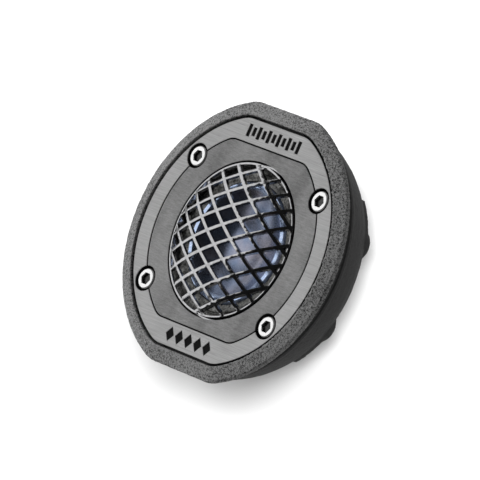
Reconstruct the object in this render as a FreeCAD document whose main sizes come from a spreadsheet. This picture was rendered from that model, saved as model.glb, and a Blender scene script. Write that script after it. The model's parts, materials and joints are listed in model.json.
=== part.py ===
import FreeCAD, Part
import math
import os

import Sketcher
from FreeCAD import Placement, Rotation, Vector

# Flush-mount car tweeter.  Millimetres, +Z out of the face.  Levels in the sheet
# are measured from the plane of the gasket that seats on the panel.  Every body
# is then placed so that the origin is at the middle of the back of the rear cap.

doc = FreeCAD.newDocument("CarTweeter")
sheet = doc.addObject("Spreadsheet::Sheet", "Dimensions")

DRIVING = [
    # levels along the axis
    ("face", 2.0),
    ("deck", 0.4),
    ("crown", 2.3),
    ("edge_drop", 0.85),
    # bezel and seat
    ("bezel_rad", 28.0),
    ("bezel_flat", 26.7),
    ("bezel_corner", 7.0),
    ("bezel_slope", 2.8),
    ("spigot_rad", 26.55),
    ("spigot_flat", 25.25),
    ("spigot_low", -1.2),
    ("spigot_high", -0.4),
    ("spigot_relief", 1.0),
    # brushed trim and inner plate
    ("trim_rad", 24.6),
    ("trim_flat", 23.15),
    ("trim_corner", 6.0),
    ("trim_gap", 0.5),
    ("window_rad", 21.24),
    ("window_flat", 18.51),
    ("window_corner", 4.1),
    ("plate_gap", 0.28),
    ("eye_rad", 15.85),
    ("mark_pitch", 1.4),
    ("mark_deep", 0.15),
    # face screws
    ("screw_across", 17.5),
    ("screw_up", 12.77),
    ("head_rad", 2.05),
    ("head_tall", 0.85),
    ("sink_rad", 2.55),
    ("sink_floor", 1.0),
    ("shank_rad", 1.22),
    ("socket_across", 2.2),
    ("socket_deep", 0.6),
    ("insert_rad", 1.75),
    ("thread_play", 0.06),
    # grille
    ("grille_rad", 15.45),
    ("grille_rise", 3.75),
    ("grille_thick", 0.6),
    ("grille_flange", 17.0),
    ("mesh_across", 3.38),
    ("mesh_up", 2.06),
    ("strand", 0.62),
    # housing
    ("cavity_rad", 24.3),
    ("ledge", -2.6),
    ("well_rad", 22.6),
    ("wall_low_rad", 24.5),
    ("wall_low", -7.8),
    ("heel_rad", 23.7),
    ("heel", -9.1),
    ("floor_rad", 22.4),
    ("floor_out", -10.2),
    ("floor_thick", 1.4),
    ("foot_low", -11.5),
    ("foot_rad", 3.45),
    ("heel_low", -10.75),
    ("heel_out", 23.3),
    ("heel_turn", 46.0),
    ("motor_hole", 17.35),
    # baffle frame
    ("frame_rad", 24.15),
    ("recess_rad", 17.2),
    ("recess_low", -1.0),
    ("collar_rad", 18.0),
    ("bore_rad", 14.6),
    ("boss_turn", 24.0),
    ("boss_at", 20.1),
    ("boss_rad", 2.0),
    # diaphragm and surround
    ("ridge_in", 11.1),
    ("ridge_out", 11.9),
    ("ridge_top", 0.65),
    ("dish_deep", 3.05),
    ("foil", 0.17),
    ("hem_in", 12.3),
    ("hem_out", 12.9),
    ("hem_top", -0.08),
    ("foam_seat", -0.35),
    ("foam_out", 15.3),
    # motor
    ("motor_top", -4.2),
    ("pole_plate", 2.2),
    ("magnet_tall", 3.8),
    ("yoke_tall", 2.4),
    ("motor_rad", 17.0),
    ("magnet_bore", 12.6),
    ("gap_out", 10.75),
    ("coil_rad", 10.4),
    ("former_rad", 10.05),
    ("former_wall", 0.1),
    ("pole_rad", 9.5),
    ("sleeve_out", 9.72),
    ("vent_rad", 4.0),
    ("glue", 0.03),
    # rear cap and terminals
    ("cap_rad", 14.4),
    ("cap_low", -17.5),
    ("cap_wall", 1.5),
    ("bolt_rad", 1.65),
    ("bolt_deep", 4.3),
    ("block_wide", 10.0),
    ("block_in", 18.2),
    ("block_out", 22.0),
    ("block_low", -13.4),
    ("tab_at", 2.6),
    ("tab_out", 20.1),
    ("tab_low", -16.9),
    ("tab_high", -7.6),
    ("wire_rad", 0.3),
]

for row, (alias, value) in enumerate(DRIVING, start=1):
    sheet.set("A%d" % row, alias.replace("_", " "))
    sheet.set("B%d" % row, repr(value))
    sheet.setAlias("B%d" % row, alias)
doc.recompute()


class Size:
    """A length that knows its value and the spreadsheet formula behind it."""

    def __init__(self, value, formula):
        self.value = value
        self.formula = formula

    def joined(self, other, sign, value):
        return Size(value, "(%s %s %s)" % (self.formula, sign, as_size(other).formula))

    def __add__(self, other):
        return self.joined(other, "+", self.value + as_size(other).value)

    def __sub__(self, other):
        return self.joined(other, "-", self.value - as_size(other).value)

    def __mul__(self, other):
        return self.joined(other, "*", self.value * as_size(other).value)

    def __truediv__(self, other):
        return self.joined(other, "/", self.value / as_size(other).value)

    def __neg__(self):
        return Size(-self.value, "(0 - %s)" % self.formula)


def as_size(number):
    if isinstance(number, Size):
        return number
    return Size(float(number), "%.6f" % number)


class Sheet:
    """Reads the driving dimensions by name: d.face, d.deck and so on."""

    def __getattr__(self, alias):
        return Size(float(sheet.get(alias)), "Dimensions." + alias)


d = Sheet()
ZERO = as_size(0)


def bind(target, prop, size):
    size = as_size(size)
    target.setExpression(prop, size.formula)


# ---------------------------------------------------------------- sketches


def new_body(label):
    body = doc.addObject("PartDesign::Body", label)
    body.Label = label
    body.AllowCompound = True
    body.Placement = Placement(Vector(0, 0, -d.cap_low.value), Rotation())
    bind(body, "Placement.Base.z", -d.cap_low)
    return body


def new_sketch(body, name, role, height=ZERO):
    plane = [item for item in body.Origin.OriginFeatures if item.Role == role][0]
    sketch = body.newObject("Sketcher::SketchObject", name)
    sketch.AttachmentSupport = [(plane, "")]
    sketch.MapMode = "FlatFace"
    height = as_size(height)
    sketch.AttachmentOffset = Placement(Vector(0, 0, height.value), Rotation())
    bind(sketch, "AttachmentOffset.Base.z", height)
    return sketch


def pin_point(sketch, geo, pos, across, up):
    """Fixes a point of the sketch at two bound distances from its origin."""
    for kind, axis, size in (("DistanceX", -2, across), ("DistanceY", -1, up)):
        size = as_size(size)
        if abs(size.value) < 1e-9:
            sketch.addConstraint(Sketcher.Constraint("PointOnObject", geo, pos, axis))
            continue
        index = sketch.addConstraint(
            Sketcher.Constraint(kind, -1, 1, geo, pos, size.value)
        )
        bind(sketch, "Constraints[%d]" % index, size)


def fix_radius(sketch, geo, radius):
    radius = as_size(radius)
    index = sketch.addConstraint(Sketcher.Constraint("Radius", geo, radius.value))
    bind(sketch, "Constraints[%d]" % index, radius)


def draw_outline(sketch, corners):
    """Closed outline.  A corner is (across, up) or (across, up, radius): with a
    radius, the edge that leaves it is an arc, centred to the left of the way
    round when the radius is positive and to the right when it is negative."""
    count = len(corners)
    ends = []
    for index, corner in enumerate(corners):
        following = corners[(index + 1) % count]
        start = Vector(as_size(corner[0]).value, as_size(corner[1]).value, 0)
        stop = Vector(as_size(following[0]).value, as_size(following[1]).value, 0)
        if len(corner) == 2:
            ends.append((sketch.addGeometry(Part.LineSegment(start, stop)), 1, 2))
            continue
        radius = as_size(corner[2])
        side = 1 if radius.value > 0 else -1
        chord = stop - start
        rise = math.sqrt(radius.value ** 2 - chord.Length ** 2 / 4)
        left = Vector(-chord.y, chord.x, 0).normalize()
        centre = (start + stop) * 0.5 + left * (rise * side)
        circle = Part.Circle(centre, Vector(0, 0, 1), abs(radius.value))
        first = math.atan2(start.y - centre.y, start.x - centre.x)
        last = math.atan2(stop.y - centre.y, stop.x - centre.x)
        if side > 0:
            arc = Part.ArcOfCircle(circle, first, last)
            ends.append((sketch.addGeometry(arc), 1, 2))
        else:
            arc = Part.ArcOfCircle(circle, last, first)
            ends.append((sketch.addGeometry(arc), 2, 1))
    for index, (geo, start_pos, stop_pos) in enumerate(ends):
        next_geo, next_start = ends[(index + 1) % count][:2]
        sketch.addConstraint(
            Sketcher.Constraint("Coincident", geo, stop_pos, next_geo, next_start)
        )
        pin_point(sketch, geo, start_pos, corners[index][0], corners[index][1])
        if len(corners[index]) == 3:
            radius = as_size(corners[index][2])
            fix_radius(sketch, geo, radius if radius.value > 0 else -radius)


def draw_circle(sketch, across, up, radius):
    across, up, radius = as_size(across), as_size(up), as_size(radius)
    centre = Vector(across.value, up.value, 0)
    geo = sketch.addGeometry(Part.Circle(centre, Vector(0, 0, 1), radius.value))
    pin_point(sketch, geo, 3, across, up)
    fix_radius(sketch, geo, radius)


def draw_flatted(sketch, radius, flat, corner):
    """A circle cut by a flat above and below, with rounded corners between."""
    radius, flat, corner = as_size(radius), as_size(flat), as_size(corner)
    reach = radius.value - corner.value
    up = flat.value - corner.value
    across = math.sqrt(reach ** 2 - up ** 2)
    turn = math.atan2(up, across)
    axis = Vector(0, 0, 1)

    def arc(x, y, size, first, last):
        circle = Part.Circle(Vector(x, y, 0), axis, size)
        return sketch.addGeometry(Part.ArcOfCircle(circle, first, last))

    right = arc(0, 0, radius.value, -turn, turn)
    top_right = arc(across, up, corner.value, turn, math.pi / 2)
    top = sketch.addGeometry(
        Part.LineSegment(Vector(across, flat.value, 0), Vector(-across, flat.value, 0))
    )
    top_left = arc(-across, up, corner.value, math.pi / 2, math.pi - turn)
    left = arc(0, 0, radius.value, math.pi - turn, math.pi + turn)
    low_left = arc(-across, -up, corner.value, math.pi + turn, 1.5 * math.pi)
    low = sketch.addGeometry(
        Part.LineSegment(Vector(-across, -flat.value, 0), Vector(across, -flat.value, 0))
    )
    low_right = arc(across, -up, corner.value, 1.5 * math.pi, 2 * math.pi - turn)
    loop = [right, top_right, top, top_left, left, low_left, low, low_right]
    for index, geo in enumerate(loop):
        following = loop[(index + 1) % len(loop)]
        sketch.addConstraint(Sketcher.Constraint("Tangent", geo, 2, following, 1))
    for geo in (right, left):
        sketch.addConstraint(Sketcher.Constraint("Coincident", geo, 3, -1, 1))
    for geo in (top, low):
        sketch.addConstraint(Sketcher.Constraint("Horizontal", geo))
    sketch.addConstraint(Sketcher.Constraint("Equal", right, left))
    for geo in (top_left, low_left, low_right):
        sketch.addConstraint(Sketcher.Constraint("Equal", top_right, geo))
    fix_radius(sketch, right, radius)
    fix_radius(sketch, top_right, corner)
    for geo, height in ((top, flat), (low, -flat)):
        index = sketch.addConstraint(
            Sketcher.Constraint("DistanceY", -1, 1, geo, 1, height.value)
        )
        bind(sketch, "Constraints[%d]" % index, height)


# ---------------------------------------------------------------- features


def revolve(body, name, corners):
    sketch = new_sketch(body, name + "Profile", "XZ_Plane")
    draw_outline(sketch, corners)
    feature = body.newObject("PartDesign::Revolution", name)
    feature.Profile = sketch
    feature.ReferenceAxis = (sketch, ["V_Axis"])
    feature.Angle = 360.0
    return feature


def pad(body, name, low, high, *drawings):
    low, high = as_size(low), as_size(high)
    sketch = new_sketch(body, name + "Outline", "XY_Plane", low)
    for draw in drawings:
        draw(sketch)
    feature = body.newObject("PartDesign::Pad", name)
    feature.Profile = sketch
    bind(feature, "Length", high - low)
    return feature


def pocket(body, name, low, high, *drawings):
    """Cuts down from the high level to the low one."""
    low, high = as_size(low), as_size(high)
    doc.recompute()
    before = body.Shape.Volume
    sketch = new_sketch(body, name + "Outline", "XY_Plane", high)
    for draw in drawings:
        draw(sketch)
    feature = body.newObject("PartDesign::Pocket", name)
    feature.Profile = sketch
    bind(feature, "Length", high - low)
    doc.recompute()
    if not body.Shape.Volume < before - 1e-4:
        raise RuntimeError("%s of %s cuts nothing" % (name, body.Label))
    return feature


def circle(across, up, radius):
    return lambda sketch: draw_circle(sketch, across, up, radius)


def flatted(radius, flat, corner):
    return lambda sketch: draw_flatted(sketch, radius, flat, corner)


def outline(*corners):
    return lambda sketch: draw_outline(sketch, list(corners))


def rectangle(across, up, wide, tall):
    across, up = as_size(across), as_size(up)
    half_wide, half_tall = as_size(wide) / 2, as_size(tall) / 2
    return outline(
        (across - half_wide, up - half_tall),
        (across + half_wide, up - half_tall),
        (across + half_wide, up + half_tall),
        (across - half_wide, up + half_tall),
    )


def ring_sector(inner, outer, start, span):
    """Part of a ring between two radii, from one angle over a span, in degrees."""
    inner, outer = as_size(inner), as_size(outer)

    def polar(radius, degrees):
        turn = math.radians(degrees)
        return radius * math.cos(turn), radius * math.sin(turn)

    return outline(
        polar(inner, start),
        (*polar(outer, start), outer),
        polar(outer, start + span),
        (*polar(inner, start + span), -inner),
    )


def edge_names(feature, test):
    shape = feature.Shape
    return ["Edge%d" % (k + 1) for k, edge in enumerate(shape.Edges) if test(edge)]


def dress(body, kind, name, test):
    """A Fillet or Chamfer on the edges of the body's last feature that pass."""
    doc.recompute()
    base = body.Tip
    feature = body.newObject("PartDesign::" + kind, name)
    feature.Base = (base, edge_names(base, test))
    return feature


def at_level(edge, level):
    box = edge.BoundBox
    return abs(box.ZMin - level) < 1e-4 and abs(box.ZMax - level) < 1e-4


def at_radius(edge, radius):
    kind = edge.Curve.TypeId
    return kind == "Part::GeomCircle" and abs(edge.Curve.Radius - radius) < 1e-4


SIGNS = [(1, 1), (-1, 1), (-1, -1), (1, -1)]


def at_screws(radius):
    """The four face-screw circles, one in each quarter of the face."""
    spots = []
    for side, end in SIGNS:
        across = d.screw_across if side > 0 else -d.screw_across
        up = d.screw_up if end > 0 else -d.screw_up
        spots.append(circle(across, up, radius))
    return spots


def at_bosses(radius):
    """Circles about the four rear-screw axes, which are the axes of the feet too."""
    turn = math.radians(d.boss_turn.value)
    spots = []
    for side, end in SIGNS:
        across = d.boss_at * (side * math.cos(turn))
        up = d.boss_at * (end * math.sin(turn))
        spots.append(circle(across, up, radius))
    return spots


parts = []


def node(label):
    body = new_body(label)
    parts.append(body)
    return body


# ---------------------------------------------------------------- face

bezel = node("bezel_ring")
pad(
    bezel, "BezelBlank", d.deck, d.crown,
    flatted(d.bezel_rad, d.bezel_flat, d.bezel_corner),
    flatted(
        d.trim_rad + d.trim_gap, d.trim_flat + d.trim_gap, d.trim_corner + d.trim_gap
    ),
)
slope = dress(
    bezel, "Chamfer", "BezelSlope",
    lambda edge: at_level(edge, d.crown.value)
    and max(math.hypot(v.X, v.Y) for v in edge.Vertexes) > d.trim_rad.value + 2.4,
)
slope.ChamferType = "Two distances"
slope.FlipDirection = False
bind(slope, "Size", d.edge_drop)
bind(slope, "Size2", d.bezel_slope)

gasket = node("mounting_gasket")
pad(
    gasket, "GasketLoop", 0, d.deck,
    flatted(d.bezel_rad - 0.3, d.bezel_flat - 0.3, d.bezel_corner - 0.3),
    flatted(d.spigot_rad + 0.2, d.spigot_flat + 0.2, d.bezel_corner),
)


def screw_seats(body):
    """Flat-bottomed sinks for the screw heads and clear holes below them."""
    pocket(body, "HeadSink", d.sink_floor, d.face, *at_screws(d.sink_rad))
    pocket(body, "ScrewHole", d.deck, d.sink_floor, *at_screws(d.shank_rad + 0.2))


def bar_row(up, count, pitch, wide, tall, step):
    """Plain bars side by side; every second one is shorter by the step."""
    bars = []
    for k in range(count):
        across = d.mark_pitch * (pitch * (k - (count - 1) / 2))
        bars.append(rectangle(across, up, wide, tall - step * (k % 2)))
    return bars


def lozenge_row(up, count, pitch, half_wide, half_tall):
    """Plain lozenges side by side."""
    shapes = []
    for k in range(count):
        across = d.mark_pitch * (pitch * (k - (count - 1) / 2))
        shapes.append(
            outline(
                (across - half_wide, up),
                (across, up - half_tall),
                (across + half_wide, up),
                (across, up + half_tall),
            )
        )
    return shapes


trim = node("trim_ring")
pad(
    trim, "TrimBlank", d.deck, d.face,
    flatted(d.trim_rad, d.trim_flat, d.trim_corner),
    flatted(d.window_rad, d.window_flat, d.window_corner),
)
screw_seats(trim)
mark_up = (d.trim_flat + d.window_flat) / 2
mark_low = d.face - d.mark_deep
pocket(trim, "BarMarks", mark_low, d.face, *bar_row(mark_up, 11, 1, 0.84, 2.5, 0.8))
pocket(
    trim, "LozengeMarks", mark_low, d.face, *lozenge_row(-mark_up, 5, 1.9, 1.12, 1.45)
)

plate = node("inner_plate")
pad(
    plate, "PlateBlank", d.deck, d.face,
    flatted(
        d.window_rad - d.plate_gap,
        d.window_flat - d.plate_gap,
        d.window_corner - d.plate_gap,
    ),
    circle(0, 0, d.eye_rad),
)
screw_seats(plate)

screws = node("face_screws")
pad(screws, "Heads", d.sink_floor, d.sink_floor + d.head_tall, *at_screws(d.head_rad))
pad(screws, "Shanks", d.ledge + 0.4, d.sink_floor, *at_screws(d.shank_rad))


def hexagons(across_flats):
    """Six-sided sockets centred on the face screws."""
    corner = across_flats / math.sqrt(3)
    shapes = []
    for side, end in SIGNS:
        points = []
        for k in range(6):
            turn = math.radians(60 * k)
            across = d.screw_across * side + corner * math.cos(turn)
            up = d.screw_up * end + corner * math.sin(turn)
            points.append((across, up))
        shapes.append(outline(*points))
    return shapes


head_top = d.sink_floor + d.head_tall
pocket(
    screws, "Sockets", head_top - d.socket_deep, head_top, *hexagons(d.socket_across)
)
crown_edge = dress(
    screws, "Fillet", "HeadCrown",
    lambda edge: at_level(edge, head_top.value) and at_radius(edge, d.head_rad.value),
)
bind(crown_edge, "Radius", d.head_tall * 0.4)

inserts = node("threaded_inserts")
insert_low, insert_high = d.ledge + 0.2, d.deck - 0.1
pad(inserts, "Barrels", insert_low, insert_high, *at_screws(d.insert_rad))
pocket(
    inserts, "Threads", insert_low, insert_high, *at_screws(d.shank_rad + d.thread_play)
)

# ---------------------------------------------------------------- grille

grille = node("grille_mesh")
rise, rim = d.grille_rise.value, d.grille_rad.value
ball = Size(
    (rim ** 2 + rise ** 2) / (2 * rise),
    "((Dimensions.grille_rad ^ 2 + Dimensions.grille_rise ^ 2)"
    " / (2 * Dimensions.grille_rise))",
)
inner_rim = d.grille_rad - d.grille_thick
revolve(
    grille, "DomeSheet",
    [
        (0, d.face + d.grille_rise - d.grille_thick),
        (0, d.face + d.grille_rise, -ball),
        (d.grille_rad, d.face),
        (inner_rim, d.face - d.grille_thick, ball - d.grille_thick),
    ],
)


def diamonds():
    """Openings of the expanded mesh: every second place of a rectangular grid."""
    run = d.mesh_across.value
    climb = d.mesh_up.value
    slant = math.hypot(run, climb)
    cut = d.strand * (slant / 2)
    half_across = d.mesh_across - cut / climb
    half_up = d.mesh_up - cut / run
    shapes = []
    for column in range(-5, 6):
        for line in range(-8, 9):
            if (column + line) % 2:
                continue
            if math.hypot(column * run, line * climb) > rim + climb:
                continue
            across = d.mesh_across * column
            up = d.mesh_up * line
            shapes.append(
                outline(
                    (across - half_across, up),
                    (across, up - half_up),
                    (across + half_across, up),
                    (across, up + half_up),
                )
            )
    return shapes


pocket(grille, "MeshOpenings", d.deck, d.face + d.grille_rise + 0.5, *diamonds())
revolve(
    grille, "GrilleRim",
    [
        (d.grille_flange, 0.05),
        (d.grille_flange, d.deck),
        (d.grille_rad, d.deck),
        (d.grille_rad, d.face + 0.05),
        (d.grille_rad - 0.38, d.face + 0.14),
        (d.grille_rad - 0.38, d.deck),
        (d.grille_rad - 0.5, 0.05),
    ],
)

seal = node("grille_gasket")
revolve(
    seal, "Seal",
    [
        (d.grille_rad + 0.05, d.foam_seat),
        (d.grille_flange + 0.1, d.foam_seat),
        (d.grille_flange + 0.1, 0.05),
        (d.grille_rad + 0.05, 0.05),
    ],
)

# ---------------------------------------------------------------- structure

frame = node("baffle_frame")
revolve(
    frame, "FrameRing",
    [
        (d.bore_rad, d.motor_top),
        (d.collar_rad, d.motor_top),
        (d.collar_rad, d.ledge),
        (d.frame_rad, d.ledge),
        (d.frame_rad, d.deck),
        (d.recess_rad, d.deck),
        (d.recess_rad, d.recess_low),
        (d.bore_rad, d.recess_low),
    ],
)
boss_low = d.floor_out + d.floor_thick + 0.1
pad(frame, "RearBosses", boss_low, d.ledge, *at_bosses(d.boss_rad))
pocket(
    frame, "BossBores", boss_low, d.ledge - 2.0, *at_bosses(d.shank_rad + d.thread_play)
)
pocket(frame, "InsertBores", d.ledge, d.deck, *at_screws(d.insert_rad + d.glue))
pocket(
    frame, "WireNotch", d.motor_top, d.ledge - 0.3,
    rectangle(0, (d.bore_rad + d.collar_rad) / 2, d.block_wide * 0.68, 5.5),
)

cup = node("housing_cup")
revolve(
    cup, "CupWall",
    [
        (d.motor_hole, d.floor_out),
        (d.floor_rad, d.floor_out, as_size(1.8)),
        (d.heel_rad, d.heel),
        (d.wall_low_rad, d.wall_low, as_size(24.0)),
        (d.spigot_rad, d.spigot_low),
        (d.spigot_rad, d.spigot_high),
        (d.spigot_rad - d.spigot_relief, d.spigot_high),
        (d.spigot_rad - d.spigot_relief, d.deck),
        (d.cavity_rad, d.deck),
        (d.cavity_rad, d.ledge),
        (d.well_rad, d.ledge),
        (d.well_rad, d.floor_out + d.floor_thick + 0.9),
        (d.well_rad - 0.8, d.floor_out + d.floor_thick),
        (d.motor_hole, d.floor_out + d.floor_thick),
    ],
)
far = d.spigot_rad + 4
for name, end in (("TopFlat", 1), ("LowFlat", -1)):
    middle = (d.spigot_flat + far) * (end / 2)
    pocket(
        cup, name, d.floor_out, d.deck + 0.2,
        rectangle(0, middle, far * 2, far - d.spigot_flat),
    )
heels = []
heel_span = d.heel_turn.value - d.boss_turn.value
for start in (d.boss_turn.value, -d.heel_turn.value):
    for turn in (0, 180):
        heels.append(
            ring_sector(d.motor_hole + 0.8, d.heel_out, start + turn, heel_span)
        )
pad(cup, "Heels", d.heel_low, d.floor_out + 0.3, *heels)
pad(cup, "Feet", d.foot_low, d.floor_out + 0.3, *at_bosses(d.foot_rad))
foot_edge = dress(
    cup, "Fillet", "FootRound",
    lambda edge: at_level(edge, d.foot_low.value) and at_radius(edge, d.foot_rad.value),
)
bind(foot_edge, "Radius", as_size(0.7))
pocket(cup, "RearSinks", d.foot_low, d.foot_low + 1.5, *at_bosses(d.head_rad + 0.1))
pocket(
    cup, "RearHoles", d.foot_low + 1.5, d.floor_out + d.floor_thick,
    *at_bosses(d.shank_rad + 0.2)
)
pocket(
    cup, "TabWindow", d.floor_out, d.floor_out + d.floor_thick,
    rectangle(0, d.tab_out, d.block_wide - 1.4, 1.6),
)

rear_screws = node("rear_screws")
rear_seat = d.foot_low + 1.5
pad(rear_screws, "RearHeads", rear_seat - 1.2, rear_seat, *at_bosses(d.head_rad))
pad(rear_screws, "RearShanks", rear_seat, d.ledge - 2.6, *at_bosses(d.shank_rad))
slots = []
for side, end in SIGNS:
    turn = math.radians(d.boss_turn.value)
    across = d.boss_at * (side * math.cos(turn))
    up = d.boss_at * (end * math.sin(turn))
    slots.append(rectangle(across, up, 2.4, 0.6))
pocket(rear_screws, "DriverSlots", rear_seat - 1.2, rear_seat - 0.6, *slots)

carrier = node("surround_frame")
revolve(
    carrier, "Carrier",
    [
        (13.6, d.recess_low),
        (d.recess_rad - 0.1, d.recess_low),
        (d.recess_rad - 0.1, d.foam_seat),
        (14.2, d.foam_seat),
        (13.6, d.foam_seat - 0.35),
    ],
)

# ---------------------------------------------------------------- moving set

foam = node("surround_foam")
revolve(
    foam, "FoamRoll",
    [
        (d.foam_out, d.foam_seat),
        (d.foam_out, d.foam_seat + 0.25),
        (14.5, d.foam_seat + 0.25, as_size(1.1)),
        (12.8, d.hem_top + 0.23),
        (d.hem_in, d.hem_top + 0.23),
        (d.hem_in, d.hem_top + 0.03),
        (12.75, d.hem_top + 0.03, as_size(-1.0)),
        (14.3, d.foam_seat),
    ],
)

dome = node("dome_diaphragm")
dish = Size(
    (d.ridge_in.value ** 2 + d.dish_deep.value ** 2) / (2 * d.dish_deep.value),
    "((Dimensions.ridge_in ^ 2 + Dimensions.dish_deep ^ 2) / (2 * Dimensions.dish_deep))",
)
revolve(
    dome, "DomeFoil",
    [
        (0, d.ridge_top - d.dish_deep, dish),
        (d.ridge_in, d.ridge_top),
        (d.ridge_out, d.ridge_top),
        (d.hem_in, d.hem_top),
        (d.hem_out, d.hem_top),
        (d.hem_out, d.hem_top - d.foil),
        (d.hem_in - 0.1, d.hem_top - d.foil),
        (d.ridge_out - 0.08, d.ridge_top - d.foil),
        (d.ridge_in + 0.06, d.ridge_top - d.foil, -dish),
        (0, d.ridge_top - d.dish_deep - d.foil),
    ],
)

plate_low = d.motor_top - d.pole_plate
coil_tall = d.pole_plate + 0.6
former = node("voice_coil_former")
revolve(
    former, "FormerTube",
    [
        (d.former_rad - d.former_wall, plate_low - 0.5),
        (d.former_rad, plate_low - 0.5),
        (d.former_rad, -0.2),
        (d.former_rad - d.former_wall, -0.2),
    ],
)

coil = node("voice_coil_winding")
revolve(
    coil, "Winding",
    [
        (d.former_rad + 0.02, plate_low - 0.3),
        (d.coil_rad, plate_low - 0.3),
        (d.coil_rad, plate_low - 0.3 + coil_tall),
        (d.former_rad + 0.02, plate_low - 0.3 + coil_tall),
    ],
)

# ---------------------------------------------------------------- motor


def ring_body(label, inner, outer, low, high):
    body = node(label)
    revolve(body, "Ring", [(inner, low), (outer, low), (outer, high), (inner, high)])
    return body


magnet_low = plate_low - d.magnet_tall
yoke_low = magnet_low - d.yoke_tall

ring_body("top_plate", d.gap_out, d.motor_rad, plate_low, d.motor_top)
ring_body("magnet_ring", d.magnet_bore, d.motor_rad, magnet_low, plate_low)
ring_body("pole_piece", d.vent_rad, d.pole_rad, magnet_low, d.motor_top)
ring_body(
    "copper_sleeve", d.pole_rad + d.glue, d.sleeve_out, magnet_low + 0.4, d.motor_top
)
ring_body("pole_felt", d.vent_rad + 0.2, d.pole_rad - 0.5, d.motor_top, d.motor_top + 0.7)
yoke = ring_body("yoke_plate", d.vent_rad, d.motor_rad - 0.1, yoke_low, magnet_low)
yoke_edge = dress(
    yoke, "Chamfer", "YokeEdge",
    lambda edge: at_level(edge, yoke_low.value)
    and at_radius(edge, d.motor_rad.value - 0.1),
)
bind(yoke_edge, "Size", as_size(0.6))

cap = node("rear_cap")
cap_roof = d.cap_low + d.cap_wall
boss_top = d.cap_low + d.bolt_deep
revolve(
    cap, "CapShell",
    [
        (d.bolt_rad, d.cap_low),
        (d.cap_rad - 0.8, d.cap_low, as_size(0.8)),
        (d.cap_rad, d.cap_low + 0.8),
        (d.cap_rad, yoke_low),
        (d.cap_rad - d.cap_wall, yoke_low),
        (d.cap_rad - d.cap_wall, cap_roof),
        (d.vent_rad - 0.2, cap_roof),
        (d.vent_rad - 0.2, boss_top),
        (d.bolt_rad, boss_top),
    ],
)
rib_cut = pocket(
    cap, "RibCut", d.cap_low, yoke_low - 1.0,
    rectangle(d.cap_rad, 0, 1.4, 0.9),
)
ribs = cap.newObject("PartDesign::PolarPattern", "Ribs")
ribs.Originals = [rib_cut]
ribs.Axis = (rib_cut.Profile[0], ["N_Axis"])
ribs.Angle = 360.0
ribs.Occurrences = 30
cap.Tip = ribs

ring_body(
    "chamber_damping", d.vent_rad + 0.2, d.cap_rad - d.cap_wall - 0.3,
    cap_roof + 0.4, yoke_low - 1.0,
)

# ---------------------------------------------------------------- terminals

block = node("terminal_block")
block_mid = (d.block_in + d.block_out) / 2
pad(
    block, "BlockBody", d.block_low, d.floor_out,
    rectangle(0, block_mid, d.block_wide, d.block_out - d.block_in),
)
TABS = (("terminal_positive", -1, 2.8), ("terminal_negative", 1, 2.0))
pocket(
    block, "TabSlots", d.block_low, d.floor_out,
    *[
        rectangle(d.tab_at * side, d.tab_out, as_size(wide + 0.1), 0.6)
        for label, side, wide in TABS
    ]
)
block_edge = dress(
    block, "Chamfer", "BlockEdge",
    lambda edge: at_level(edge, d.block_low.value)
    and (
        abs(edge.CenterOfMass.y - block_mid.value) > 1.8
        or abs(edge.CenterOfMass.x) > d.block_wide.value / 2 - 0.1
    ),
)
bind(block_edge, "Size", as_size(0.5))

for label, side, wide in TABS:
    tab = node(label)
    pad(
        tab, "Blade", d.tab_low, d.tab_high,
        rectangle(d.tab_at * side, d.tab_out, wide, 0.5),
    )
    blade_tip = dress(
        tab, "Chamfer", "BladeTip",
        lambda edge: at_level(edge, d.tab_low.value) and edge.Length > 0.6,
    )
    bind(blade_tip, "Size", as_size(0.15))


def wire_route(body, name, distance, points):
    """Straight runs joined end to end, in a plane parallel to YZ."""
    route = new_sketch(body, name, "YZ_Plane", distance)
    runs = []
    for start, stop in zip(points[:-1], points[1:]):
        first = Vector(as_size(start[0]).value, as_size(start[1]).value, 0)
        last = Vector(as_size(stop[0]).value, as_size(stop[1]).value, 0)
        runs.append(route.addGeometry(Part.LineSegment(first, last)))
    for geo, following in zip(runs[:-1], runs[1:]):
        route.addConstraint(Sketcher.Constraint("Coincident", geo, 2, following, 1))
    for geo, point in zip(runs, points[:-1]):
        pin_point(route, geo, 1, point[0], point[1])
    pin_point(route, runs[-1], 2, points[-1][0], points[-1][1])
    return route


def sweep_wire(body, name, section, route):
    """A round wire along a route of two runs, mitred at the bend."""
    pipe = body.newObject("PartDesign::AdditivePipe", name)
    pipe.Profile = section
    pipe.Spine = (route, ["Edge1", "Edge2"])
    pipe.Transition = "Right corner"


strip_high = d.motor_top + 0.9
strip_out = d.bore_rad - 0.2
strip = node("solder_strip")
pad(
    strip, "Strip", d.motor_top, strip_high,
    rectangle(0, strip_out - 0.65, 6.0, 1.3),
)

wire_level = d.motor_top + 0.55
for label, side in (("lead_wire_positive", -1), ("lead_wire_negative", 1)):
    lead = node(label)
    at = d.tab_at * side
    section = new_sketch(lead, "WireSection", "XY_Plane", d.tab_high)
    draw_circle(section, at, d.tab_out, d.wire_rad)
    route = wire_route(
        lead, "WireRoute", at,
        [
            (d.tab_out, d.tab_high),
            (d.tab_out, wire_level),
            (strip_out + 0.03, wire_level),
        ],
    )
    sweep_wire(lead, "Wire", section, route)

tinsel = node("tinsel_leads")
braid = as_size(0.12)
tinsel_turn = 1.9
for index, side in enumerate((-1, 1)):
    at = as_size(tinsel_turn * side)
    clear_of_coil = d.former_rad + 0.15
    section = new_sketch(tinsel, "BraidSection%d" % index, "XZ_Plane", -(strip_out - 1.33))
    draw_circle(section, at, wire_level, braid)
    route = wire_route(
        tinsel, "BraidRoute%d" % index, at,
        [
            (strip_out - 1.33, wire_level),
            (strip_out - 2.3, wire_level),
            (clear_of_coil, -2.0),
        ],
    )
    sweep_wire(tinsel, "Braid%d" % index, section, route)

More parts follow.
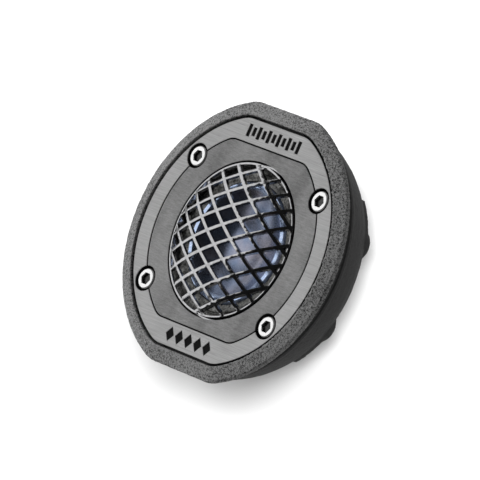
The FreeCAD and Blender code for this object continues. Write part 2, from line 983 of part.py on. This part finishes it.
# ---------------------------------------------------------------- write out

doc.recompute()
for item in doc.Objects:
    if "Invalid" in item.State or "Error" in item.State:
        raise RuntimeError("%s (%s) failed" % (item.Name, item.Label))
for body in parts:
    if body.Shape.isNull() or not body.Shape.isValid() or body.Shape.Volume <= 0:
        raise RuntimeError("%s has no valid shape" % body.Label)

os.makedirs("parts", exist_ok=True)
for body in parts:
    body.Shape.exportStep("parts/%s.step" % body.Label)
    print("%-22s solids %d volume %9.3f" % (
        body.Label, len(body.Shape.Solids), body.Shape.Volume))
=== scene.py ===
import json
import math

import bmesh
import bpy
from mathutils import Matrix, Vector, noise


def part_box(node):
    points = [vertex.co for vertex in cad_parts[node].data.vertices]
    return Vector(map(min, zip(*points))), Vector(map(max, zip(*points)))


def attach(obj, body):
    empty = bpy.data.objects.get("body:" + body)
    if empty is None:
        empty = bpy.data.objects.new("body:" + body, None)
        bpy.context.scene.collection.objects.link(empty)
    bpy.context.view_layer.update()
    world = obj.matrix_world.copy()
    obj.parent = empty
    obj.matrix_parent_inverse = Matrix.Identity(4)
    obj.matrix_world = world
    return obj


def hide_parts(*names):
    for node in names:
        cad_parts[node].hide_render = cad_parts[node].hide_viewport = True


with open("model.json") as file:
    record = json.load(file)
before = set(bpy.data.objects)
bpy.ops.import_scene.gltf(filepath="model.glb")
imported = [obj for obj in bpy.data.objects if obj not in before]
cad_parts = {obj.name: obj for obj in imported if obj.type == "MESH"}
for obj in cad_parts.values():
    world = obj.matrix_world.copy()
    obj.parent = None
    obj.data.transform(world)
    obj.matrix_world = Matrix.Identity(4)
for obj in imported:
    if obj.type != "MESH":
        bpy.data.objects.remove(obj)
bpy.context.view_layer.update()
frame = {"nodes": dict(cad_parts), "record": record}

MM = 0.001
FIXED = "tweeter"
MOVING = "moving_set"

# Levels and radii that the pieces share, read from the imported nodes.
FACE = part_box("trim_ring")[1][2]
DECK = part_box("trim_ring")[0][2]
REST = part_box("rear_cap")[0][2]
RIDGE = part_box("dome_diaphragm")[1][2]
GROOVE = DECK - 2.05 * MM
SCREW_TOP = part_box("face_screws")[1][2]
# Below this level the trim and plate go black: the black fill of the marks, and painted
# shade in recesses, gaps and screw sinks.
MARK_AND_SHADE_LEVEL = FACE - 0.12 * MM
# Below this level the screw sockets take painted shade.
SOCKET_LEVEL = SCREW_TOP - 0.40 * MM

# The groove behind the flange and the raised bead below it, both only on housing_skin.
GROOVE_HALF = 0.30 * MM
GROOVE_DEPTH = 0.35
# Half width of the black band of painted shade along the groove.
GROOVE_SHADE_HALF = 0.36 * MM
BEAD_BELOW = 0.85 * MM
BEAD_HALF = 0.22 * MM
BEAD_RISE = 0.12
INNER_RADIUS = 24.6 * MM
INNER_FLAT = 24.4 * MM

# The foam is parted at this radius, with half the gap on each side.
FOAM_SEAM = 14.0 * MM
FOAM_HALF_GAP = 0.05 * MM

# How metallic each kind of face is; the rest of it scatters light evenly.
LACQUERED = 0.5
POLISHED = 0.72
FOIL = 0.93

# Two vertices closer than this are one.
SAME_POINT = 0.001 * MM


# ------------------------------------------------------------------ materials


class Nodes:
    """Small helper that adds and links shader nodes in one material."""

    def __init__(self, tree):
        self.tree = tree
        self.tree.nodes.clear()

    def add(self, kind, inputs=None, **settings):
        node = self.tree.nodes.new(kind)
        for key, value in settings.items():
            setattr(node, key, value)
        for key, value in (inputs or {}).items():
            socket = node.inputs[key]
            if isinstance(value, bpy.types.NodeSocket):
                self.tree.links.new(value, socket)
            else:
                socket.default_value = value
        return node

    def math(self, operation, first, second=0.0):
        node = self.add("ShaderNodeMath", {0: first, 1: second}, operation=operation)
        return node.outputs[0]

    def height(self):
        place = self.add("ShaderNodeTexCoord")
        return self.add("ShaderNodeSeparateXYZ", {0: place.outputs["Object"]}).outputs[2]

    def coords(self, scale):
        place = self.add("ShaderNodeTexCoord")
        mapped = self.add("ShaderNodeMapping", {"Vector": place.outputs["Object"]})
        mapped.inputs["Scale"].default_value = scale
        return mapped.outputs[0]

    def noise(self, scale, detail=2.0, stretch=(1, 1, 1), rough=0.5):
        node = self.add(
            "ShaderNodeTexNoise",
            {"Vector": self.coords(stretch), "Scale": scale, "Detail": detail,
             "Roughness": rough},
        )
        return node.outputs["Fac"]

    def ramp(self, factor, low, high):
        node = self.add(
            "ShaderNodeMapRange",
            {"Value": factor, "From Min": low, "From Max": high},
        )
        return node.outputs[0]

    def blend(self, factor, first, second):
        node = self.add("ShaderNodeMix", data_type="RGBA")
        for index, value in ((0, factor), (6, first), (7, second)):
            if isinstance(value, bpy.types.NodeSocket):
                self.tree.links.new(value, node.inputs[index])
            else:
                node.inputs[index].default_value = value
        return node.outputs[2]

    def bump(self, height, distance, strength=1.0):
        node = self.add(
            "ShaderNodeBump",
            {"Height": height, "Distance": distance, "Strength": strength},
        )
        return node.outputs[0]

    def shader(self, colour, rough, metal, normal):
        inputs = {
            "Base Color": colour, "Roughness": rough, "Metallic": metal, "Normal": normal,
        }
        bsdf = self.add("ShaderNodeBsdfPrincipled", inputs)
        self.add("ShaderNodeOutputMaterial", {0: bsdf.outputs[0]})


def grey(value):
    return (value, value, value, 1.0)


def new_material(name):
    material = bpy.data.materials.new(name)
    material.use_nodes = True
    return material, Nodes(material.node_tree)


def black_below(nodes, colour, level):
    """Black below a level, with the mask of where that is: the black fill of engraved
    marks, and painted shade on the walls of recesses, gaps and screw sinks.
    """
    low = nodes.math("LESS_THAN", nodes.height(), level)
    return nodes.blend(low, colour, grey(0.003)), low


def brushed_trim():
    material, n = new_material("brushed_trim")
    fine = n.noise(1.0, 3.0, (300, 16000, 3000), 0.65)
    broad = n.noise(1.0, 3.0, (120, 6000, 900), 0.6)
    cloud = n.noise(90.0, 2.0)
    both = n.math("ADD", n.math("MULTIPLY", fine, 0.5), n.math("MULTIPLY", broad, 0.5))
    shade = n.math("ADD", n.math("MULTIPLY", both, 0.85), n.math("MULTIPLY", cloud, 0.15))
    tone = n.blend(n.ramp(shade, 0.34, 0.66), grey(0.27), grey(0.49))
    # Black marks, and painted shade in the recesses and gaps.
    colour, low = black_below(n, tone, MARK_AND_SHADE_LEVEL)
    rough = n.math("ADD", n.math("MULTIPLY", broad, 0.2), 0.22)
    rough = n.math("ADD", rough, n.math("MULTIPLY", low, 0.6))
    n.shader(
        colour, rough, n.math("MULTIPLY", n.math("SUBTRACT", 1.0, low), LACQUERED),
        n.bump(both, 0.010 * MM, 0.8),
    )
    return material


def satin_plate():
    material, n = new_material("satin_plate")
    cloud = n.noise(120.0, 4.0, (1, 0.5, 1), 0.55)
    drift = n.noise(1.0, 3.0, (700, 4200, 900), 0.6)
    speck = n.noise(7000.0, 2.0)
    mix = n.math("ADD", n.math("MULTIPLY", drift, 0.3), n.math("MULTIPLY", cloud, 0.5))
    mix = n.math("ADD", mix, n.math("MULTIPLY", speck, 0.2))
    tone = n.blend(n.ramp(mix, 0.38, 0.62), grey(0.13), grey(0.31))
    # Black marks, and painted shade in the recesses and gaps.
    colour, low = black_below(n, tone, MARK_AND_SHADE_LEVEL)
    rough = n.math("ADD", n.math("MULTIPLY", cloud, 0.16), 0.30)
    rough = n.math("ADD", rough, n.math("MULTIPLY", low, 0.5))
    n.shader(
        colour, rough, n.math("MULTIPLY", n.math("SUBTRACT", 1.0, low), LACQUERED),
        n.bump(mix, 0.006 * MM, 0.5),
    )
    return material


def textured_coating(name, dark, light, scale, gloss, low=0.40, high=0.68, groove=None):
    """Hard, granular paint: small bumps of speckled tone, darker in the pits between them
    as painted shade.
    """
    material, n = new_material(name)
    grain = n.noise(scale, 5.0, rough=0.75)
    speck = n.noise(scale * 2.6, 2.0)
    cloud = n.noise(70.0, 2.0)
    height = n.math("ADD", n.math("MULTIPLY", grain, 0.6), n.math("MULTIPLY", speck, 0.4))
    shade = n.math("ADD", height, n.math("MULTIPLY", cloud, 0.12))
    # Tone follows the bump height: the speckle is the paint's own, the darker pits are
    # painted shade.
    tone = n.blend(n.ramp(shade, low, high), grey(dark), grey(light))
    if groove is not None:
        # A black band along the bottom of the groove: painted shade.
        away = n.math("ABSOLUTE", n.math("SUBTRACT", n.height(), groove))
        groove_shade = n.math("LESS_THAN", away, GROOVE_SHADE_HALF)
        tone = n.blend(groove_shade, tone, grey(0.001))
    n.shader(
        tone, n.math("ADD", n.math("MULTIPLY", grain, 0.25), gloss), 0.0,
        n.bump(height, 0.10 * MM, 1.0),
    )
    return material


def polished_screw():
    """Bright head whose socket, below the rounded crown, is painted dark as shade, with a
    faint mottle.
    """
    material, n = new_material("polished_screw")
    grain = n.noise(1500.0, 3.0)
    tone = n.blend(n.ramp(grain, 0.3, 0.7), grey(0.88), grey(0.97))
    # Painted shade inside the hex socket.
    socket = n.math("LESS_THAN", n.height(), SOCKET_LEVEL)
    socket_shade_mottle = n.noise(2400.0, 3.0)
    dark = n.blend(n.ramp(socket_shade_mottle, 0.45, 0.7), grey(0.004), grey(0.05))
    n.shader(
        n.blend(socket, tone, dark), n.math("ADD", n.math("MULTIPLY", grain, 0.1), 0.14),
        n.math("MULTIPLY", n.math("SUBTRACT", 1.0, socket), POLISHED),
        n.bump(grain, 0.002 * MM, 0.4),
    )
    return material


def plain_with_grain(
    name, dark, light, rough, metal, scale, bump, spread=0.12, stretch=(1, 1, 1)
):
    """A surface whose tone, gloss and relief all vary with one fine grain."""
    material, n = new_material(name)
    grain = n.noise(scale, 4.0, stretch, 0.6)
    cloud = n.noise(180.0, 3.0)
    tone = n.blend(n.ramp(grain, 0.3, 0.7), (*dark, 1), (*light, 1))
    gloss = n.math("ADD", n.math("MULTIPLY", cloud, spread), rough - spread / 2)
    n.shader(tone, gloss, metal, n.bump(grain, bump * MM, 0.6))
    return material


def blue_dome():
    """Thin metal foil, greyer inside the dish and paler blue on its ridge, the paler ridge
    being a painted highlight.
    """
    material, n = new_material("blue_dome")
    cloud = n.noise(160.0, 3.0)
    grain = n.noise(2600.0, 3.0)
    ridge = n.ramp(n.height(), RIDGE - 0.35 * MM, RIDGE - 0.1 * MM)
    dish = n.blend(
        n.ramp(cloud, 0.35, 0.65), (0.24, 0.31, 0.46, 1), (0.38, 0.37, 0.44, 1)
    )
    # Paler blue on the ridge: a painted highlight.
    rim = n.blend(n.ramp(grain, 0.3, 0.7), (0.40, 0.52, 0.78, 1), (0.62, 0.72, 0.92, 1))
    n.shader(
        n.blend(ridge, dish, rim), n.math("ADD", n.math("MULTIPLY", grain, 0.14), 0.12),
        FOIL, n.bump(grain, 0.004 * MM, 0.4),
    )
    return material


looks = {
    "trim": brushed_trim(),
    "plate": satin_plate(),
    "bezel": textured_coating("textured_coating", 0.0, 0.33, 2500.0, 0.42, 0.474, 0.60),
    "dome": blue_dome(),
    "screw": polished_screw(),
    "grille": plain_with_grain(
        "black_nickel", (0.40, 0.40, 0.41), (0.54, 0.54, 0.55), 0.12, 1.0, 1400.0, 0.003,
        spread=0.06,
    ),
    "housing": textured_coating(
        "moulded_housing", 0.016, 0.068, 2600.0, 0.36, groove=GROOVE
    ),
    "frame": plain_with_grain(
        "moulded_frame", (0.012,) * 3, (0.02,) * 3, 0.5, 0.0, 2200.0, 0.02
    ),
    "rubber": plain_with_grain(
        "gasket_rubber", (0.004,) * 3, (0.01,) * 3, 0.75, 0.0, 3000.0, 0.03
    ),
    "foam": plain_with_grain(
        "surround_foam", (0.03, 0.03, 0.03), (0.47, 0.47, 0.455), 0.85, 0.0, 2200.0, 0.08
    ),
    "brass": plain_with_grain(
        "insert_brass", (0.6, 0.43, 0.18), (0.75, 0.56, 0.27), 0.3, 1.0, 900.0, 0.003
    ),
    "former": plain_with_grain(
        "amber_film", (0.35, 0.2, 0.05), (0.5, 0.3, 0.08), 0.3, 0.0, 900.0, 0.002
    ),
    "coil": plain_with_grain(
        "enamelled_wire", (0.35, 0.1, 0.03), (0.6, 0.22, 0.08), 0.3, 1.0, 1.0, 0.02,
        stretch=(1, 1, 9000),
    ),
    "steel": plain_with_grain(
        "zinc_steel", (0.42,) * 3, (0.58, 0.58, 0.60), 0.34, 1.0, 1100.0, 0.005
    ),
    "magnet": plain_with_grain(
        "nickel_plate", (0.5, 0.5, 0.51), (0.62, 0.62, 0.63), 0.25, 1.0, 700.0, 0.003
    ),
    "copper": plain_with_grain(
        "bare_copper", (0.6, 0.26, 0.13), (0.78, 0.38, 0.22), 0.28, 1.0, 900.0, 0.003
    ),
    "felt": plain_with_grain(
        "pressed_felt", (0.03,) * 3, (0.12,) * 3, 0.95, 0.0, 3000.0, 0.1
    ),
    "cap": plain_with_grain(
        "black_anodised", (0.02,) * 3, (0.035,) * 3, 0.38, 1.0, 2000.0, 0.006
    ),
    "terminal": plain_with_grain(
        "tin_plate", (0.6, 0.55, 0.42), (0.75, 0.70, 0.55), 0.3, 1.0, 1300.0, 0.004
    ),
    "board": plain_with_grain(
        "laminate", (0.02, 0.018, 0.014), (0.05, 0.045, 0.03), 0.45, 0.0, 1500.0, 0.01
    ),
    "wire": plain_with_grain(
        "tinned_strand", (0.5, 0.3, 0.18), (0.75, 0.5, 0.35), 0.35, 1.0, 3000.0, 0.02
    ),
}

for part in frame["record"]["subparts"]:
    mesh = frame["nodes"][part["node"]].data
    mesh.materials.clear()
    mesh.materials.append(looks[part["material_slot"]])


def soften(node, width, angle=40.0):
    """Rounds a CAD node's sharp edges for its looks; the mesh itself stays."""
    piece = frame["nodes"][node]
    weld = piece.modifiers.new("join_edges", "WELD")
    weld.merge_threshold = SAME_POINT
    bevel = piece.modifiers.new("edge_round", "BEVEL")
    bevel.width = width * MM
    bevel.segments = 2
    bevel.limit_method = "ANGLE"
    bevel.angle_limit = math.radians(angle)
    bevel.use_clamp_overlap = True
    bevel.harden_normals = True


ROUNDED = {
    "trim_ring": 0.07,
    "inner_plate": 0.07,
    "grille_mesh": 0.11,
    "face_screws": 0.05,
    "rear_screws": 0.06,
    "terminal_block": 0.18,
    "terminal_positive": 0.10,
    "terminal_negative": 0.10,
    "rear_cap": 0.14,
    "yoke_plate": 0.15,
    "surround_frame": 0.10,
    "mounting_gasket": 0.10,
}
for name, width in ROUNDED.items():
    soften(name, width)


# ------------------------------------------------------------------ detail pieces


def new_piece(name, mesh, body, slot):
    """A shown piece with its slot's material, riding on a body."""
    piece = bpy.data.objects.new(name, mesh)
    bpy.context.collection.objects.link(piece)
    mesh.materials.clear()
    mesh.materials.append(looks[slot])
    for face in mesh.polygons:
        face.use_smooth = True
    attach(piece, body)
    return piece


def cutter(radius):
    """A tall round bar on the part's axis, used only to cut with."""
    shape = bmesh.new()
    bmesh.ops.create_cone(
        shape, cap_ends=True, segments=180, radius1=radius, radius2=radius, depth=0.2
    )
    mesh = bpy.data.meshes.new("cutter")
    shape.to_mesh(mesh)
    shape.free()
    bar = bpy.data.objects.new("cutter", mesh)
    bpy.context.collection.objects.link(bar)
    return bar


def fine_copy(node, grid, side=None, radius=0.0):
    """A CAD node's mesh rebuilt as small even quads.

    With a side, only what lies inside or outside a radius about the axis is kept.
    """
    copy = bpy.data.objects.new("fine_" + node, frame["nodes"][node].data.copy())
    bpy.context.collection.objects.link(copy)
    weld = copy.modifiers.new("join_edges", "WELD")
    weld.merge_threshold = SAME_POINT
    if side:
        bar = cutter(radius)
        cut = copy.modifiers.new("keep_side", "BOOLEAN")
        cut.operation = "INTERSECT" if side == "inside" else "DIFFERENCE"
        cut.solver = "EXACT"
        cut.object = bar
    remesh = copy.modifiers.new("even_quads", "REMESH")
    remesh.mode = "VOXEL"
    remesh.voxel_size = grid * MM
    remesh.use_smooth_shade = True
    relax = copy.modifiers.new("relax", "SMOOTH")
    relax.factor = 0.5
    relax.iterations = 3
    depsgraph = bpy.context.evaluated_depsgraph_get()
    mesh = bpy.data.meshes.new_from_object(copy.evaluated_get(depsgraph))
    bpy.data.objects.remove(copy)
    if side:
        bpy.data.objects.remove(bar)
    return mesh


def roughen(mesh, coarse, fine, depth):
    """Moves every vertex along its normal by two sizes of noise, in millimetres."""
    offsets = []
    for vertex in mesh.vertices:
        spot = vertex.co / MM
        broad = noise.noise(spot / coarse)
        sharp = noise.noise(spot / fine + Vector((7.3, 1.9, 4.1)))
        offsets.append(vertex.normal * ((0.55 * broad + 0.45 * sharp) * depth * MM))
    for vertex, offset in zip(mesh.vertices, offsets):
        vertex.co += offset
    mesh.update()


def grained(name, node, slot, grid, coarse, fine, depth, shape=None):
    """Stands for a CAD node in its own shape, with a granular surface."""
    mesh = fine_copy(node, grid)
    mesh.name = name
    if shape:
        shape(mesh)
    roughen(mesh, coarse, fine, depth)
    piece = new_piece(name, mesh, FIXED, slot)
    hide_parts(node)
    return piece


def shadow_groove(mesh):
    """Sinks a fine groove into the housing right behind the flange, with a bead below."""
    for vertex in mesh.vertices:
        spot = vertex.co
        radius = math.hypot(spot.x, spot.y)
        if radius < INNER_RADIUS and abs(spot.y) < INNER_FLAT:
            continue
        groove = math.exp(-(((spot.z - GROOVE) / GROOVE_HALF) ** 4))
        bead = math.exp(-(((spot.z - GROOVE + BEAD_BELOW) / BEAD_HALF) ** 2))
        inward = (GROOVE_DEPTH * groove - BEAD_RISE * bead) * MM / radius
        spot.x -= spot.x * inward
        spot.y -= spot.y * inward


def foam_rings():
    """The foam roll as two rings: the outer one stays, the inner lip goes with the dome."""
    for name, side, body, radius in (
        ("foam_roll", "outside", FIXED, FOAM_SEAM + FOAM_HALF_GAP),
        ("foam_lip", "inside", MOVING, FOAM_SEAM - FOAM_HALF_GAP),
    ):
        mesh = fine_copy("surround_foam", 0.10, side, radius)
        mesh.name = name
        roughen(mesh, 0.42, 0.2, 0.12)
        ring = new_piece(name, mesh, body, "foam")
        if body == FIXED:
            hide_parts("surround_foam")


def coil_turns():
    """The winding as one layer of round wire, wound turn beside turn."""
    low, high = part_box("voice_coil_winding")
    thickness = high.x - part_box("voice_coil_former")[1].x
    turns = int((high.z - low.z) / thickness) - 1
    steps = 72
    radius = high.x - thickness / 2
    line = bpy.data.curves.new("coil_turns", "CURVE")
    line.dimensions = "3D"
    line.bevel_depth = thickness * 0.48
    line.bevel_resolution = 1
    spline = line.splines.new("POLY")
    spline.points.add(turns * steps)
    start = (low.z + high.z) / 2 - turns * thickness / 2
    for k in range(turns * steps + 1):
        turn = math.tau * k / steps
        rise = start + thickness * k / steps
        spline.points[k].co = (radius * math.cos(turn), radius * math.sin(turn), rise, 1)
    line.materials.append(looks["coil"])
    piece = bpy.data.objects.new("coil_turns", line)
    bpy.context.collection.objects.link(piece)
    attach(piece, MOVING)
    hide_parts("voice_coil_winding")


grained("bezel_coat", "bezel_ring", "bezel", 0.20, 0.55, 0.26, 0.10)
grained("housing_skin", "housing_cup", "housing", 0.22, 0.9, 0.4, 0.07, shadow_groove)
foam_rings()
grained("felt_disc", "pole_felt", "felt", 0.16, 0.5, 0.24, 0.12)
coil_turns()


# ------------------------------------------------------------------ camera

AZIMUTH = math.radians(-2.43)
ELEVATION = math.radians(44.6)
ROLL = math.radians(-65.3)
DISTANCE = 1.1374
OFF_AXIS = 1.72 * MM

back = Vector((
    math.cos(ELEVATION) * math.cos(AZIMUTH),
    math.cos(ELEVATION) * math.sin(AZIMUTH),
    math.sin(ELEVATION),
))
right = Vector((0, 0, 1)).cross(back).normalized()
turn = Matrix.Rotation(ROLL, 3, back)
right = turn @ right
up = back.cross(right)
camera = bpy.data.objects.new("camera", bpy.data.cameras.new("camera"))
camera.data.sensor_width = 36.0
camera.data.lens = 450.0
camera.data.clip_end = 20.0
place = Vector((0, 0, FACE)) + back * DISTANCE + right * OFF_AXIS
camera.matrix_world = Matrix((
    (right.x, up.x, back.x, place.x),
    (right.y, up.y, back.y, place.y),
    (right.z, up.z, back.z, place.z),
    (0, 0, 0, 1),
))
bpy.context.collection.objects.link(camera)
bpy.context.scene.camera = camera
bpy.context.scene.view_settings.view_transform = "Standard"

# ------------------------------------------------------------------ set and light

SOFTBOX_AT = Vector((-0.86, 0.05, 0.50)).normalized()
SOFTBOX_EDGE = math.radians(36.0)
SOFTBOX_FULL = math.radians(32.0)
SOFTBOX_GLOW = 1.07
BAND_FULL = 0.36
BAND_END = 0.46
BAND_GLOW = 0.5
ROOM_GLOW = 0.012
FLOOR_GLOW = 0.27
FLOOR_SEEN = 0.36
FLOOR_BOUNCE = 0.13
FLOOR_REACH = 3.0
FLOOR_LEVEL = REST - 0.03 * MM

world = bpy.data.worlds.new("studio")
bpy.context.scene.world = world
world.use_nodes = True
w = Nodes(world.node_tree)
direction = w.add("ShaderNodeTexCoord").outputs["Generated"]
# One big round softbox low on the -X side; the rest of the room stays dark, so
# that polished strands turned away from it go black.
toward = w.add(
    "ShaderNodeVectorMath", {0: direction, 1: SOFTBOX_AT}, operation="DOT_PRODUCT"
)
panel = w.add(
    "ShaderNodeMapRange",
    {"Value": toward.outputs["Value"], "From Min": math.cos(SOFTBOX_EDGE),
     "From Max": math.cos(SOFTBOX_FULL)},
).outputs[0]
# A dim band of light stands all round the horizon and shows the sides and back.
rise = w.add("ShaderNodeSeparateXYZ", {0: direction}).outputs[2]
band = w.add(
    "ShaderNodeMapRange",
    {"Value": rise, "From Min": BAND_FULL, "From Max": BAND_END, "To Min": 1.0,
     "To Max": 0.0},
).outputs[0]
lights = w.math(
    "MAXIMUM", w.math("MULTIPLY", panel, SOFTBOX_GLOW), w.math("MULTIPLY", band, BAND_GLOW)
)
glow = w.math("ADD", lights, ROOM_GLOW)
background = w.add(
    "ShaderNodeBackground", {"Color": (1.0, 1.0, 1.0, 1.0), "Strength": glow}
)
seen = w.add("ShaderNodeBackground", {"Color": (1.0, 1.0, 1.0, 1.0), "Strength": 1.0})
rays = w.add("ShaderNodeLightPath")
pick = w.add(
    "ShaderNodeMixShader",
    {0: rays.outputs["Is Camera Ray"], 1: background.outputs[0], 2: seen.outputs[0]},
)
w.add("ShaderNodeOutputWorld", {0: pick.outputs[0]})

floor_mesh = bpy.data.meshes.new("floor")
corners = ((-1, -1), (1, -1), (1, 1), (-1, 1))
floor_mesh.from_pydata(
    [(x * FLOOR_REACH, y * FLOOR_REACH, FLOOR_LEVEL) for x, y in corners],
    [], [(0, 1, 2, 3)],
)
floor = bpy.data.objects.new("floor", floor_mesh)
bpy.context.collection.objects.link(floor)
material, n = new_material("pale_floor")
# Lit from below like a light table, so that shadows on it stay pale.
own_glow = n.add("ShaderNodeEmission", {"Color": grey(1.0), "Strength": FLOOR_GLOW})
lit = n.add("ShaderNodeBsdfDiffuse", {"Color": grey(FLOOR_SEEN)})
seen_floor = n.add("ShaderNodeAddShader", {0: own_glow.outputs[0], 1: lit.outputs[0]})
bounce_floor = n.add("ShaderNodeBsdfDiffuse", {"Color": grey(FLOOR_BOUNCE)})
mix = n.add(
    "ShaderNodeMixShader",
    {0: n.add("ShaderNodeLightPath").outputs["Is Camera Ray"],
     1: bounce_floor.outputs[0], 2: seen_floor.outputs[0]},
)
n.add("ShaderNodeOutputMaterial", {0: mix.outputs[0]})
floor_mesh.materials.append(material)

receivers = bpy.data.collections.new("floor_only")
receivers.objects.link(floor)


def sun(name, towards, strength, angle, only_floor=False):
    """A soft distant light from the given direction, with no reflection of its own."""
    lamp = bpy.data.lights.new(name, "SUN")
    lamp.energy = strength
    lamp.angle = math.radians(angle)
    holder = bpy.data.objects.new(name, lamp)
    holder.rotation_euler = Vector(towards).to_track_quat("Z", "Y").to_euler()
    holder.visible_glossy = False
    bpy.context.collection.objects.link(holder)
    if only_floor:
        holder.light_linking.receiver_collection = receivers


sun("floor_light", (0.78, 0.22, 1.0), 8.8, 26.0, only_floor=True)
sun("fill_light", (-0.7, 0.35, 0.9), 2.0, 34.0)
